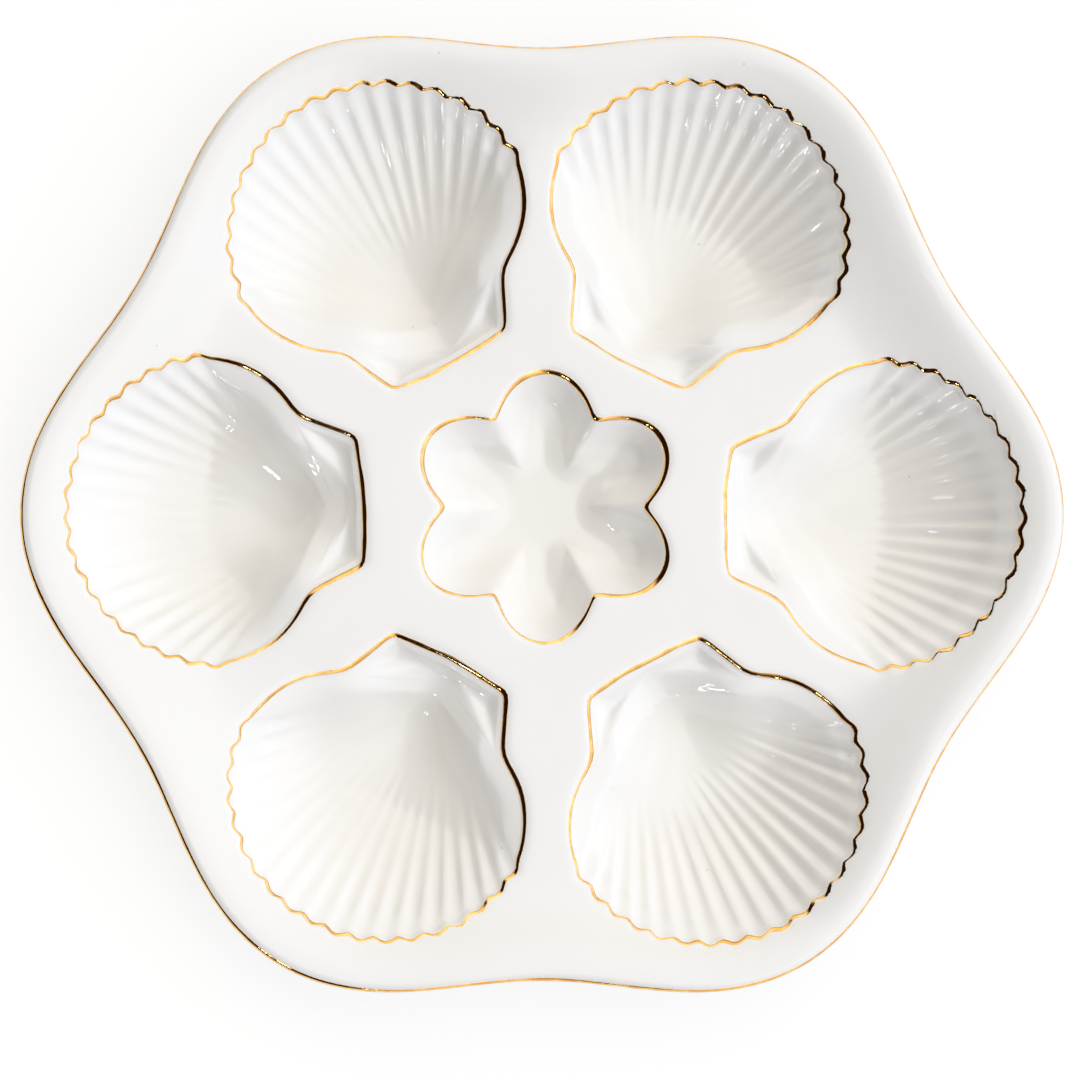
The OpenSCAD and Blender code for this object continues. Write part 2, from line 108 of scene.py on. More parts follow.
# %% [markdown]
# ## Deck and rim
# The deck between the wells is nearly flat. Towards the outline it rises in a long S-curve to a
# crest, and then rolls over to the outer edge. The outline itself is a circle with six soft dips,
# one between each two wells. Pressed porcelain is never quite flat, so a few long, low waves go
# over the deck: they are a tenth of a millimetre high, and only the glaze shows them.
# It could be a spun profile that is pulled in at the dips. A height for every place on the plan is
# chosen, because the wells and the gold lines can then ask for the deck's height anywhere.

# %% Plan and height of the deck
rim_wave, rim_rise, rise_w, crest_in, edge_drop, rise_skew = 13.7, 5.5, 36.0, 2.5, 1.6, 1.6
# Each wave has its run along x and along y, in mm to a radian, and the place where it starts.
press_wave_h, press_wave_runs = 0.06, ((13, 29, 0), (31, -12, 2), (19, 17, 4))


def rim_radius(angle):
    """Radius of the outline: half the width, less a cosine wave that dips between two wells."""
    return plate_d / 2 - rim_wave / 2 * (1 - np.cos(wells * angle))


def press_waves(p):
    """Long waves left by pressing and firing: sine waves that each run in their own direction."""
    return press_wave_h * sum(np.sin(p.real / x + p.imag / y + at) for x, y, at in press_wave_runs)


def deck_height(p):
    """The flat deck, plus an eased rise to the crest, less an elliptic roll to the edge."""
    inset = rim_radius(np.angle(p)) - abs(p)
    up = limit((rise_w - inset) / (rise_w - crest_in))
    over = limit(1 - inset / crest_in)
    rolled = edge_drop * (1 - np.sqrt(1 - over**2))
    waves = press_waves(p) * limit(inset / rise_w)
    return deck_h + rim_rise * ease(up**rise_skew) - rolled + waves


print(f"The crest is {deck_height(plate_d / 2 - crest_in + 0j):.1f} mm above the table")

# %% [markdown]
# ## Outline of a shell well
# A scallop shell has a straight hinge line, two ears beside it, and a round fan. Its own frame has
# its first axis outwards and its second to the left. The outline starts in the middle of the hinge
# line and goes once round to the left. The fan's edge swells outwards in the middle of every
# flute, and a soft absolute sine gives the small arches with their narrow cusps.
# A curve could be drawn by hand instead. With a formula, the scallops, the flutes behind them and
# the gold line over them all agree on where each arch is.

# %% Points along the outline
shell_at, shell_r, shell_pull = plate_d / 2 - 50.7, 38.7, (0.31, 0.93)
hinge_corner = shell_at - 34.3 + 16.5j
hinge_bow, notch, scallop_end = 1.2, shell_at - 20.1 + 22.75j, 88.0
flutes, scallop, scallop_softness, gilt_w = 19, 1.1, 0.7, 1.4
# Counts: points to a flute, on half the hinge line, on an ear and on a shoulder, and the flutes on
# each side that face the line between two shells.
facets, hinge_n, ear_n, shoulder_n, side_flutes = 6, 14, 8, 12, 4
side_n = hinge_n + ear_n + shoulder_n
line_n = ear_n + shoulder_n + side_flutes * facets
arc_n = (flutes - 2 * side_flutes) * facets


def fan_point(degrees):
    """The fan's edge is a circle about the middle of the round end."""
    return shell_at + turned(shell_r + 0j, degrees)


def left_side():
    """Hinge line, a bow; ear, a straight line; shoulder, a curve pulled to a point beside it."""
    hinge = np.linspace(0, 1, hinge_n, endpoint=False)
    ear = np.linspace(0, 1, ear_n, endpoint=False)
    t = np.linspace(0, 1, shoulder_n, endpoint=False)
    pull = complex(blend(notch.real, shell_at, shell_pull[0]), shell_r * shell_pull[1])
    shoulder = blend(blend(notch, pull, t), blend(pull, fan_point(scallop_end), t), t)
    bow = hinge_corner.real - hinge_bow * (1 - hinge**2) + 1j * hinge_corner.imag * hinge
    return np.concatenate([bow, blend(hinge_corner, notch, ear), shoulder])


def soft_arches(x, softness):
    """An absolute sine with rounded cusps: 0 on a ridge still, and 1 in the middle of a flute."""
    top = np.sqrt(1 + softness**2) - softness
    return (np.sqrt(np.sin(np.pi * x) ** 2 + softness**2) - softness) / top


side = left_side()
fan_steps = np.arange(facets * flutes + 1)
fan = fan_point(scallop_end * (2 * fan_steps / fan_steps[-1] - 1))
plain_edge = np.concatenate([side.conj(), fan, side[:0:-1]])
no_swell = np.zeros(side_n)
fan_arches = soft_arches(fan_steps / facets, scallop_softness)
edge_swell = np.concatenate([no_swell, fan_arches, no_swell[1:]])
edge_points = len(plain_edge)
print(f"A shell's outline has {edge_points} points and {flutes} scallops")

# %% Edge and lip of a shell
plain_edge = softened(plain_edge, 2)
along = np.roll(plain_edge, -1) - np.roll(plain_edge, 1)
inwards = 1j * along / abs(along)
shell_edge = plain_edge - scallop * edge_swell * inwards
plain_lip = plain_edge + gilt_w * inwards
shell_lip = shell_edge + gilt_w * inwards

# %% [markdown]
# ## Floor of a shell well
# From the hinge inwards a shell has shallow ears, then a V-shaped ridge from the umbo to the two
# notches. Behind it the porcelain falls in a gentle band, and past a crease it drops into the
# bowl. A narrow band of the same kind runs inside the whole edge of the fan.
# The floor's rays leave a root beside the umbo and end on the lip. Along them the flutes grow out
# of the smooth floor from about a third of the way, and end in round noses just inside the edge.
# Their depth and start differ a little from one to the next, as moulds finished by hand leave
# them.
# A bowl like this could be sculpted. Here its fall is worked out from each place's distance to the
# edge, because the walls then keep their width round every corner.

# %% Heights in a shell
lip_drop, lip_bend, lip_curve = 1.2, 0.25, 0.4286
# An ear has a gentle band inside its lip, then a steep wall, and is shallower near the fan.
ear_band_w, ear_band, ear_fall_w, ear_power = 1.2, 0.16, 3.4, 1.7
ear_shallow, ear_shallow_w, corner_join = 0.7, 12.0, 4
# The ridge starts at the umbo, and has a low crest. Behind it lie the brow's band and its fall.
umbo, umbo_round, hollow_round = shell_at - 31.9 + 0j, 2.5, 1.2
crest, crest_w, crest_fade, ridge_w = 0.16, 0.7, 4.0, 3.6
brow_band_w, brow_band, brow_fall_w, brow_power = 6.5, 0.33, 27.0, 4.8
# Inside the fan's edge a narrow band goes over into a wall that widens away from the hinge.
edge_band_w, edge_band, wall_power = 4.5, 0.12, 1.9
shoulder_w, bowl_wall_w, widens_from, widens_over = 17.0, 40.0, 13.0, 45.0
# Along the middle the walls of the two sides are rounded into each other.
seam_power, seam_from, seam_over = 8, 4.0, 14.0
ridge_line = (notch - umbo) / abs(notch - umbo)
fan_start, fan_middle = hinge_n + ear_n, edge_points // 2
right_half = plain_edge[fan_start : fan_middle + 1]
left_half = plain_edge[fan_middle : edge_points - fan_start + 1]
ears_edge = plain_edge[np.r_[edge_points - fan_start : edge_points, 0 : fan_start + 1]]


def distance_to(line, p):
    """Nearest distance to a line's segments: each place is dropped square onto every one."""
    a, b = line[:-1], line[1:]
    away = p.reshape(-1, 1) - a
    t = limit((away * (b - a).conj()).real / abs(b - a) ** 2)
    return abs(away - t * (b - a)).min(axis=1).reshape(p.shape)


def into_fan(p):
    """Distance from the fan's lip. Between its two sides the nearer one is rounded into the other,
    by a high power of their ratio, so that no fold runs along the shell's middle. The rounding
    ends before the outer end of the fan."""
    right, left = distance_to(right_half, p), distance_to(left_half, p)
    near = np.minimum(right, left)
    ratio = near / np.maximum(right, left)
    rounded = near * (1 + ratio**seam_power) ** (-1 / seam_power)
    return blend(rounded, near, ease((p.real - shell_at - seam_from) / seam_over)) - gilt_w


def past_ridge(p):
    """Distance behind the V-shaped ridge: along its normal, with the V rounded at the umbo by a
    hyperbola. Past the crease its radius grows, so the hollow has no fold along the middle."""
    radius = umbo_round
    for _ in range(2):
        across = np.hypot(p.imag, radius) - radius
        behind = (p.real - umbo.real) * ridge_line.imag - across * ridge_line.real
        radius = umbo_round + hollow_round * np.maximum(behind - brow_band_w, 0)
    return behind


def banded_fall(into, band_w, band, width, power):
    """A straight, gentle band first, then past a crease a steep wall that levels out, 0 to 1."""
    return band * limit(into / band_w) + (1 - band) * curved_up((into - band_w) / width, power)


def sunk(p):
    """How far below the lip a place in the shell lies, without its flutes: an ear's pocket before
    the ridge, the bowl behind it, and between them a low crest that climbs to the lip at the
    notches. Near the lip of the ears the bowl's fall is let in slowly, so that both walls join."""
    behind = past_ridge(p)
    bowl = banded_fall(behind, brow_band_w, brow_band, brow_fall_w, brow_power)
    into_bowl, band_w = into_fan(p), blend(brow_band_w, edge_band_w, bowl)
    widened = ease((p.real - umbo.real - widens_from) / widens_over)
    wall_w = blend(shoulder_w, bowl_wall_w, widened)
    bowl_wall = banded_fall(into_bowl, band_w, edge_band, wall_w, wall_power)
    bowl_fall = (blend(ear_depth, shell_depth, bowl) - lip_drop) * bowl_wall
    into_ear = distance_to(ears_edge, p) - gilt_w
    ear_wall = banded_fall(into_ear, ear_band_w, ear_band, ear_fall_w, ear_power)
    ear_share = blend(ear_shallow, 1, ease(into_bowl / ear_shallow_w))
    ear_fall = (ear_depth - lip_drop) * ear_wall * ear_share
    near_crest = np.exp(-((behind / crest_w) ** 2)) * ear_wall * limit(into_bowl / crest_fade)
    in_bowl = ease((behind + ridge_w / 2) / ridge_w)
    return blend(ear_fall, bowl_fall * limit(ear_wall * corner_join), in_bowl) - crest * near_crest


def lip_fall(x):
    """Fall of the rounded edge, x gilding widths inwards: a fading bend on the deck, which is an
    exponential, and then a parabola."""
    on_deck = lip_bend * np.exp(np.minimum(x, 0) * gilt_w)
    x = np.maximum(x, 0)
    return on_deck + gilt_w * (lip_bend * x + lip_curve * x**2)


hollow_z = deck_h - lip_drop - sunk(np.array([shell_at + 0j]))[0]
print(f"The bowl's floor is {hollow_z:.1f} mm above the table at the shell's middle")


# %% Flutes
flute_depth, flute_at_lip, flute_fade, flute_softness = 0.46, 0.3, 14.0, 0.4
# Shares of that depth: the least, what is added on a well's right, and how far it strays.
flute_least, flute_more, flute_strays = 0.75, 0.95, 0.4
# Shares of the ray: where a flute starts, and where it ends in its nose.
start_at, start_on_sides, start_strays, start_over = 0.34, 0.12, 0.05, 0.42
nose_strays, nose_over = 0.03, 0.05
depth_waves, start_waves, nose_waves = (4, 9, 15), (2, 5, 8), (3, 7, 11)
# Each well has a root, noses and a strength of its own, because each was finished by itself.
flute_roots = [50 - 3.5j, 50, 50, 50 + 3.5j, 50 + 1j, 50 - 5j]
flute_noses = [0.86, 0.92, 0.92, 0.91, 0.91, 0.93]
flute_press = [1.05, 0.95, 0.85, 0.75, 0.6, 1.25]
fan_degrees = scallop_end * abs(2 * fan_steps / fan_steps[-1] - 1)
fan_fade = ease((scallop_end - fan_degrees) / flute_fade)
fan_swell = soft_arches(fan_steps / facets, flute_softness) * fan_fade
flute_swell = np.concatenate([no_swell, fan_swell, no_swell[1:]])
# From 0 in the middle of the fan to 1 on its sides.
flute_side = np.concatenate([no_swell + 1, (fan_degrees / scallop_end) ** 2, no_swell[1:] + 1])


def uneven(count, waves, seed):
    """A smooth closed wobble from -1 to 1: the mean of sine waves with whole numbers of turns."""
    phases = np.random.default_rng(seed).uniform(0, 2 * np.pi, len(waves))
    u = np.arange(count)[:, None] / count
    return np.sin(2 * np.pi * u * np.array(waves) + phases).mean(axis=1)


def side_share(p, degrees):
    """From 0 to 1, how far round towards a direction a place lies: 1 and a cosine, halved."""
    return 0.5 + 0.5 * np.cos(np.angle(p) - np.radians(degrees))


def fluting(share, k):
    """Share of a flute's full depth along its ray: eased in over the floor, then a nose near the
    edge. The flutes on a well's right are deeper, and depth, start and nose all stray."""
    nose = flute_noses[k] + nose_strays * uneven(edge_points, nose_waves, 50 + k)
    rightwards = side_share(on_plate(plain_edge, k) - on_plate(shell_at, k), 0)
    depth = flute_least + flute_more * rightwards
    depth = depth * flute_press[k] * (1 + flute_strays * uneven(edge_points, depth_waves, 60 + k))
    strays = start_strays * uneven(edge_points, start_waves, 70 + k)
    grown = ease((share - (start_at + start_on_sides * flute_side + strays)) / start_over)
    return depth * grown * (1 - (1 - flute_at_lip) * ease((share - nose) / nose_over))


# %% Rows of a shell
floor_rows, lip_rows, crowding, swell_from, cut_power = 50, 5, 0.5, 0.6, 1.5
ray_shares = (np.arange(1, floor_rows + 1) / floor_rows)[:, None]
ray_shares = blend(ray_shares, ease(ray_shares), crowding)
lip_steps = np.linspace(1, 0, lip_rows + 1)[1:, None]
lip_plan = shell_edge + gilt_w * lip_steps * inwards
# What is left of the flutes where the floor meets the lip. It fades out over the lip.
lip_cut = flute_at_lip * flute_depth * flute_swell
print(f"The bowl is {shell_depth:.1f} mm deep, and its flutes {flute_depth:.2f} mm")

# %% Place a shell on the plate
# The wells aren't set quite evenly: how far each has slipped, in mm, and turned, in degrees.
well_slips = [1.5, -1.2 + 2.2j, -0.5 - 0.5j, -1.2j, -1.7, 0.5 + 2j]
well_turns = [-1.5, 3, -2, 3.5, 2, -1.5]


def on_plate(p, k):
    """Well k's places on the plate: turned and slipped a little, and then turned to its sector."""
    placed = shell_at + well_slips[k] + turned(p - shell_at, well_turns[k])
    return turned(placed, 360 / wells * k)


def solid_rows(p, z):
    """Rows of points in space from their places on the plan and their heights."""
    return np.stack([p.real, p.imag, z + 0 * p.real], axis=-1)


def shell_rows(k):
    """From the flutes' root out: the floor's rows below the lip's height, then the rounded lip."""
    shares = np.concatenate([[[0.0]], ray_shares])
    plain = blend(flute_roots[k], plain_lip, shares)
    pool = fluting(shares, k) * flute_swell
    fall = softened(sunk(plain), 2) + flute_depth * pool
    swell = ease((shares - swell_from) / (1 - swell_from))
    floor = on_plate(plain + (shell_lip - plain_lip) * swell, k)
    lip = on_plate(lip_plan, k)
    floor_z = deck_height(floor) - lip_drop - fall
    lip_z = deck_height(lip) - lip_fall(lip_steps) - lip_cut * lip_steps**cut_power
    return np.concatenate([solid_rows(floor, floor_z), solid_rows(lip, lip_z)])


# %% [markdown]
# ## Middle well
# The middle well is a flower of six lobes. Its outline is a softened absolute cosine in polar
# form. In the lobes its floor runs nearly to the edge, and from the folds between them rounded
# tongues come down to the middle. The tongues are pressed with different strength, so each has a
# share of the full height of its own.
# Six round cutters could make the lobes, but they leave sharp folds. Distances to the outline and
# to the line down the middle of each tongue give soft ones.

# %% Plan and height of the middle well
petal_r, fold_r, petal_slip, fold_round, flower_from = 34.4, 26.0, 0.7 + 1.8j, 0.15, 0.4
tongue_end, tongue_l, tongue_slope, tongue_flat, tongue_side = 17.5, 14.0, 0.7, 1.0, 9.0
tongue_press = [1, 0.78, 0.62, 0.7, 0.5, 0.75]
channel_wall_w, channel_power = 7.0, 1.8
channel_end, channel_l, bed_power = 0.5, 21.0, 1.5
petal_row_count, petal_crowding, collar_w = 34, 0.9, 2.6


def ring_angles(n):
    """Angles round the plate, n to a sector, from the right border of the first sector."""
    return np.radians(360 / wells) * (np.arange(wells * n) / n - 0.5)


def lobe_wave(angle):
    """A cosine that is 0 in every fold, and 1 or -1 in the middle of every lobe."""
    return np.cos(wells / 2 * angle + np.pi / 2)


def petal_edge(angle):
    """Radius of the outline: from folds to tips by a cosine's size, rounded in the folds."""
    wave = lobe_wave(angle)
    top = np.sqrt(1 + fold_round**2) - fold_round
    return fold_r + (petal_r - fold_r) * (np.sqrt(wave**2 + fold_round**2) - fold_round) / top


def petal_radius(angle, share):
    """Rows follow a soft flower near the middle, by the square of the cosine, and take on the
    outline's folds further out."""
    soft = fold_r + (petal_r - fold_r) * lobe_wave(angle) ** 2
    folded = ease((share - flower_from) / (1 - flower_from))
    return share * (blend(soft, petal_edge(angle), folded) - gilt_w)


petal_angles = ring_angles(2 * hinge_n)
petal_ray = np.exp(1j * petal_angles)
petal_outline = petal_edge(petal_angles) * petal_ray
petal_outline = np.append(petal_outline, petal_outline[0])


def petal_fall(p):
    """Fall below the lip. From each fold a tongue slopes gently inwards to its round nose. Off the
    tongues lie the lobes' channels, whose short steep wall and long bed are multiplied together.
    A tongue that is pressed less lets the channels' fall through."""
    radius, inset = abs(p), petal_edge(np.angle(p)) - gilt_w - abs(p)
    tongue = tongue_slope * limit(inset / tongue_l)
    bed = blend(channel_end, 1, curved_up((petal_r - gilt_w - radius) / channel_l, bed_power))
    into_lobe = distance_to(petal_outline, p) - gilt_w
    channel = bed * curved_up(into_lobe / channel_wall_w, channel_power)
    off_tongues = 1.0
    for k, press in enumerate(tongue_press):
        fold = turned(np.array([fold_r + 0j, tongue_end]), 360 / wells * k)
        off_fold = ease((distance_to(fold, p) - tongue_flat) / tongue_side)
        off_tongues = off_tongues * blend(1 - press, 1, off_fold)
    return (petal_depth - lip_drop) * blend(tongue, channel, off_tongues)


# %% Rows of the middle well
petal_shares = (np.arange(1, petal_row_count + 1) / petal_row_count)[:, None] ** petal_crowding
petal_floor = petal_radius(petal_angles, petal_shares) * petal_ray
petal_plan = petal_slip + petal_floor
petal_lip_plan = petal_slip + (petal_edge(petal_angles) - gilt_w * lip_steps) * petal_ray
petal_middle = np.full(len(petal_angles), petal_slip)
collar_plan = petal_slip + (petal_edge(petal_angles) + collar_w) * petal_ray
collar_steps = np.array([0.2, 0.5, 1.0])[:, None]
collar_rows = blend(petal_slip + petal_edge(petal_angles) * petal_ray, collar_plan, collar_steps)
collar_fall = lip_fall(-collar_w / gilt_w * collar_steps) * (1 - collar_steps)
petal_rows = np.concatenate(
    [
        solid_rows(petal_middle, deck_height(petal_middle) - petal_depth)[None],
        solid_rows(petal_plan, deck_height(petal_plan) - lip_drop - petal_fall(petal_floor)),
        solid_rows(petal_lip_plan, deck_height(petal_lip_plan) - lip_fall(lip_steps)),
        solid_rows(collar_rows, deck_height(collar_rows) - collar_fall),
    ]
)
print(f"The middle well is {petal_depth:.1f} mm deep, with lobes {petal_r:.1f} mm long")

# %% [markdown]
# ## Deck round the shells
# The plate is cut into six sectors. A sector's border runs over the collar of the middle well, out
# along a line between two shells, along the rim's crest and back. It has as many points as a
# shell's edge, so rows of deck can be stretched between the two. Neighbours share their border
# points exactly.
# Booleans could cut the wells out of a disc. They leave long thin triangles, which show as streaks
# in a glaze, and rows that are stretched between two borders stay even.

# %% Borders of the sectors
crest_angles = ring_angles(arc_n)
crest_plan = (rim_radius(crest_angles) - crest_in) * np.exp(1j * crest_angles)
# A line's points lie opposite those of the shell's left side, which are dropped square on it.
line_part = plain_edge[-hinge_n : -hinge_n - line_n - 1 : -1]
reach = turned(line_part, -180 / wells).real
line_shares = (reach - reach[0]) / (reach[-1] - reach[0])


def border_line(k):
    """Line between sectors k and k + 1, from the collar to the crest, without its ends."""
    start = collar_plan[(k + 1) % wells * 2 * hinge_n]
    end = crest_plan[(k + 1) % wells * arc_n]
    return blend(start, end, line_shares[1:-1])


def sector_border(k):
    """Once round sector k to the left, from the middle of its collar."""
    ring = np.roll(collar_plan, -2 * hinge_n * k)[: 2 * hinge_n + 1]
    crest = np.take(crest_plan, np.arange(arc_n * k, arc_n * (k + 1) + 1), mode="wrap")
    right, left = border_line((k - 1) % wells), border_line(k)
    return np.concatenate([ring[hinge_n::-1], right, crest, left[::-1], ring[: hinge_n : -1]])


deck_steps = np.array([0.02, 0.05, 0.1, 0.17, 0.28, 0.44, 0.68, 1.0])[:, None]


def deck_rows(k):
    """Stretched from the shell's edge to the sector's border, with the edge's bend fading away."""
    edge, border = on_plate(shell_edge, k), sector_border(k)
    p = blend(edge, border, deck_steps)
    return solid_rows(p, deck_height(p) - lip_fall(-abs(p - edge) / gilt_w) * (1 - deck_steps))


print(f"A sector's border has {len(sector_border(0))} points, and a shell's edge {edge_points}")

# %% [markdown]
# ## Outer edge, underside and foot
# Over the crest the rim rolls down to its outer edge and back under itself. Underneath, the
# porcelain follows the wells as round bulges and keeps its thickness between them. The plate
# stands on a turned ring whose flat land is ground free of glaze.
# A Solidify modifier could give the thickness, but it makes neither the foot nor the round bulges.
# So the underside is a height for every place on the plan too.

# %% Rows of the rim and the underside
foot_r, foot_seat, root_slope = plate_d / 2 - 56.0, 3.5, 2.2
bulge_reach, under_wall_w, join_power = 4.5, 34.0, 4
under_in, under_drop = 3.0, 2.6
roll_rows, outer_rows, inner_rows, join_rows = 7, 11, 19, 5
foot_profile = ([0, 1.2, 1.5, 1.9, 2.3, 2.6, 3.0, 3.5], [0, 0, 0.12, 0.5, 1.6, 2.25, 2.6, 2.7])
rim_angles = crest_angles
rim_ray = np.exp(1j * rim_angles)


def bulge(into, width):
    """A well's bulge below the deck: a wall's curve that starts a little outside the well."""
    return curved_up((into + bulge_reach) / (width + bulge_reach), wall_power)


def under_height(p):
    """The deck's underside less the bulges, never below the seat of the foot. The bulges are
    joined by the root of the sum of their powers. The foot's profile is set in, and a slope
    beside it lets both meet."""
    base = deck_height(p) - wall
    middles = [on_plate(shell_at + 0j, k) for k in range(wells)]
    deep = [(base - foot_h) * bulge(shell_r - abs(p - m), under_wall_w) for m in middles]
    q = p - petal_slip
    deep.append(petal_depth * bulge(petal_edge(np.angle(q)) - abs(q), petal_r - fold_r))
    bulges = sum(d**join_power for d in deep) ** (1 / join_power)
    off_foot = abs(abs(p) - foot_r)
    root = foot_h + root_slope * np.maximum(0, off_foot - foot_seat)
    height = np.minimum(np.maximum(base - bulges, foot_h), root)
    return np.where(off_foot < foot_seat, np.interp(off_foot, *foot_profile), height)


roll = np.radians(np.linspace(0, 90, roll_rows + 1))[1:, None]
over_plan = (rim_radius(rim_angles) - crest_in * (1 - np.sin(roll))) * rim_ray
under_plan = (rim_radius(rim_angles) - under_in * (1 - np.cos(roll))) * rim_ray
edge_z = deck_height(over_plan[-1])
outer_steps = np.linspace(0, 1, outer_rows + 1)[1:, None]
outer_r = blend(rim_radius(rim_angles) - under_in, foot_r + foot_seat, outer_steps)
foot_offsets = np.array(foot_profile[0])
foot_steps = np.concatenate([foot_offsets[::-1], -foot_offsets[1:]])[1:, None]
foot_rings = foot_r + foot_steps + 0 * rim_angles
inner_steps = np.linspace(1, 0, inner_rows + 1)[1:, None]
inner_r = (foot_r - foot_seat) * inner_steps + 0 * rim_angles
under_rings = np.concatenate([outer_r, foot_rings, inner_r]) * rim_ray
under_z = under_height(under_rings)
join_steps = ease(np.arange(1, join_rows + 1) / join_rows)[:, None]
under_z[:join_rows] = blend(edge_z - under_drop, under_z[:join_rows], join_steps)
under_rows = np.concatenate(
    [
        solid_rows(crest_plan, deck_height(crest_plan))[None],
        solid_rows(over_plan, deck_height(over_plan)),
        solid_rows(under_plan, edge_z - under_drop * np.sin(roll)),
        solid_rows(under_rings, under_z),
    ]
)
print(f"The foot's land is {2 * foot_r:.0f} mm across")

# %% [markdown]
# ## One closed body
# Each sheet of rows becomes triangles, and points that lie in the same place are made one, so the
# whole plate is a single closed skin. A triangle that has lost a corner at a pole is left out.
# The sheets could stay apart and only look joined, but a closed skin shades without seams, and it
# can be weighed and printed.


# %% Turn rows into triangles
def row_faces(rows, columns):
    """Two triangles between neighbours in two rows, which face up where the rows go outwards."""
    r, c = np.meshgrid(np.arange(rows - 1), np.arange(columns), indexing="ij")
    a, b = r * columns + c, (r + 1) * columns + c
    a2, b2 = r * columns + (c + 1) % columns, (r + 1) * columns + (c + 1) % columns
    first, second = np.stack([a, b, b2], -1), np.stack([a, b2, a2], -1)
    return np.concatenate([first.reshape(-1, 3), second.reshape(-1, 3)])


def joined(sheets):
    """All the sheets' points and triangles in one. Points are merged where their places agree to
    a hundred-thousandth of a millimetre."""
    points, faces, count = [], [], 0
    for sheet in sheets:
        rows, columns = sheet.shape[:2]
        points.append(sheet.reshape(-1, 3))
        faces.append(row_faces(rows, columns) + count)
        count += rows * columns
    points, faces = np.concatenate(points), np.concatenate(faces)
    places = np.round(points, 5)
    _, first, merged = np.unique(places, axis=0, return_index=True, return_inverse=True)
    faces = merged.reshape(-1)[faces]
    whole = (faces != np.roll(faces, 1, axis=1)).all(axis=1)
    return points[first], faces[whole]


def open_edges(faces):
    """Number of edges that don't have exactly two triangles. A closed skin has none."""
    edges = np.sort(faces[:, [0, 1, 1, 2, 2, 0]].reshape(-1, 2), axis=1)
    return int((np.unique(edges, axis=0, return_counts=True)[1] != 2).sum())


def make_piece(name, points, faces, node):
    """A smooth mesh object in metres that rides with the plate and stands for its CAD node."""
    mesh = bpy.data.meshes.new(name)
    mesh.vertices.add(len(points))
    mesh.vertices.foreach_set("co", (points * mm).astype(np.float32).ravel())
    mesh.loops.add(faces.size)
    mesh.loops.foreach_set("vertex_index", faces.astype(np.int32).ravel())
    mesh.polygons.add(len(faces))
    mesh.polygons.foreach_set("loop_start", np.arange(0, faces.size, 3, dtype=np.int32))
    mesh.update(calc_edges=True)
    mesh.validate()
    mesh.shade_smooth()
    piece = bpy.data.objects.new(name, mesh)
    bpy.context.scene.collection.objects.link(piece)
    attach(piece, "root")
    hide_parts(node)
    print(f"{name}: {len(points)} points, {len(faces)} triangles, {open_edges(faces)} open edges")
    return piece


# %% The porcelain body
sheets = [np.concatenate([shell_rows(k), deck_rows(k)]) for k in range(wells)]
body_points, body_faces = joined(sheets + [petal_rows, under_rows])
body = make_piece("porcelain_plate", body_points, body_faces, "plate_body")

# %% [markdown]
# ## Gold lines
# The painter's brush lays a narrow line over the rounded lip of each well. Its edges wander a
# little and its width swells and thins: it carries more gold on the upper right of each well, and
# the line over the rim is wide only at the lower left. Each line here is a closed ribbon a few
# hundredths of a millimetre proud: a row of points across the lip, lifted off the glaze, that
# comes back under itself.
# The porcelain's material could paint the gold on. A piece of its own has a crisp edge in every
# view, and it stands for the line that is a separate piece in the CAD.

# %% Ribbons along the lips
gilt_lift, gilt_sink, gilt_roundness, ribbon_n, line_step = 0.02, 0.05, 6, 8, 0.02


def ribbon(line, outer, inner):
    """A flat tube across a lip. line(x) gives the lip's row x widths from the edge. The top side
    goes from the outer to the inner edge of the brush stroke, lifted along the surface's normal,
    and the under side comes back just below the glaze."""
    q = 0.5 - 0.5 * np.cos(np.linspace(0, np.pi, ribbon_n))[:, None]
    q = np.concatenate([q, q[::-3]])
    proud = gilt_lift * (1 - (2 * q[:ribbon_n] - 1) ** gilt_roundness)
    lift = np.concatenate([proud, q[ribbon_n:] * 0 - gilt_sink])
    x = blend(outer, inner, q)
    here = line(x)
    across = line(x + line_step) - here
    ahead = np.roll(here, -1, axis=1) - np.roll(here, 1, axis=1)
    normal = np.cross(ahead, across)
    normal /= np.linalg.norm(normal, axis=-1, keepdims=True)
    rows = here + normal * np.sign(normal[..., 2:]) * lift[..., None]
    return np.concatenate([rows, rows[:1]])


def make_gilding(name, rows, node):
    """The ribbon's rows close on themselves, so their first and last rows merge."""
    points, faces = joined([rows[::-1]])
    return make_piece(name, points, faces, node)


# %% Gold round the shells
# Each edge of a stroke: its place, and how far a full load, the fan and both together move it.
stroke_outer, stroke_inner = (0.14, -0.14, 0.28, 0.2), (0.6, 0.25, 0.22, 0.19)
shell_loaded_at, fan_over, slip_strays, brush_strays = 40, 25.0, 0.2, 0.18
slip_waves, brush_waves = (3, 7, 13), (2, 5, 9, 16, 27)
on_fan = np.concatenate([no_swell, ease((scallop_end - fan_degrees) / fan_over), no_swell[1:]])


def shell_line(k):
    """The shell's rounded lip, x gilding widths inwards from its edge."""

    def line(x):
        p = on_plate(shell_edge + gilt_w * x * inwards, k)
        cut = lip_cut * np.maximum(x, 0) ** cut_power
        return solid_rows(p, deck_height(p) - lip_fall(x) - cut)

    return line


def stroke_edge(stroke, load, slip, seed):
    """One edge of the brush stroke, in gilding widths from the lip's edge: moved by the load,
    drawn outwards on the fan, slipped with the whole stroke, and unsteady by itself."""
    at, loaded, fan, fan_loaded = stroke
    edge = at + loaded * load - on_fan * (fan + fan_loaded * load) + slip
    return edge + brush_strays * uneven(edge_points, brush_waves, seed)


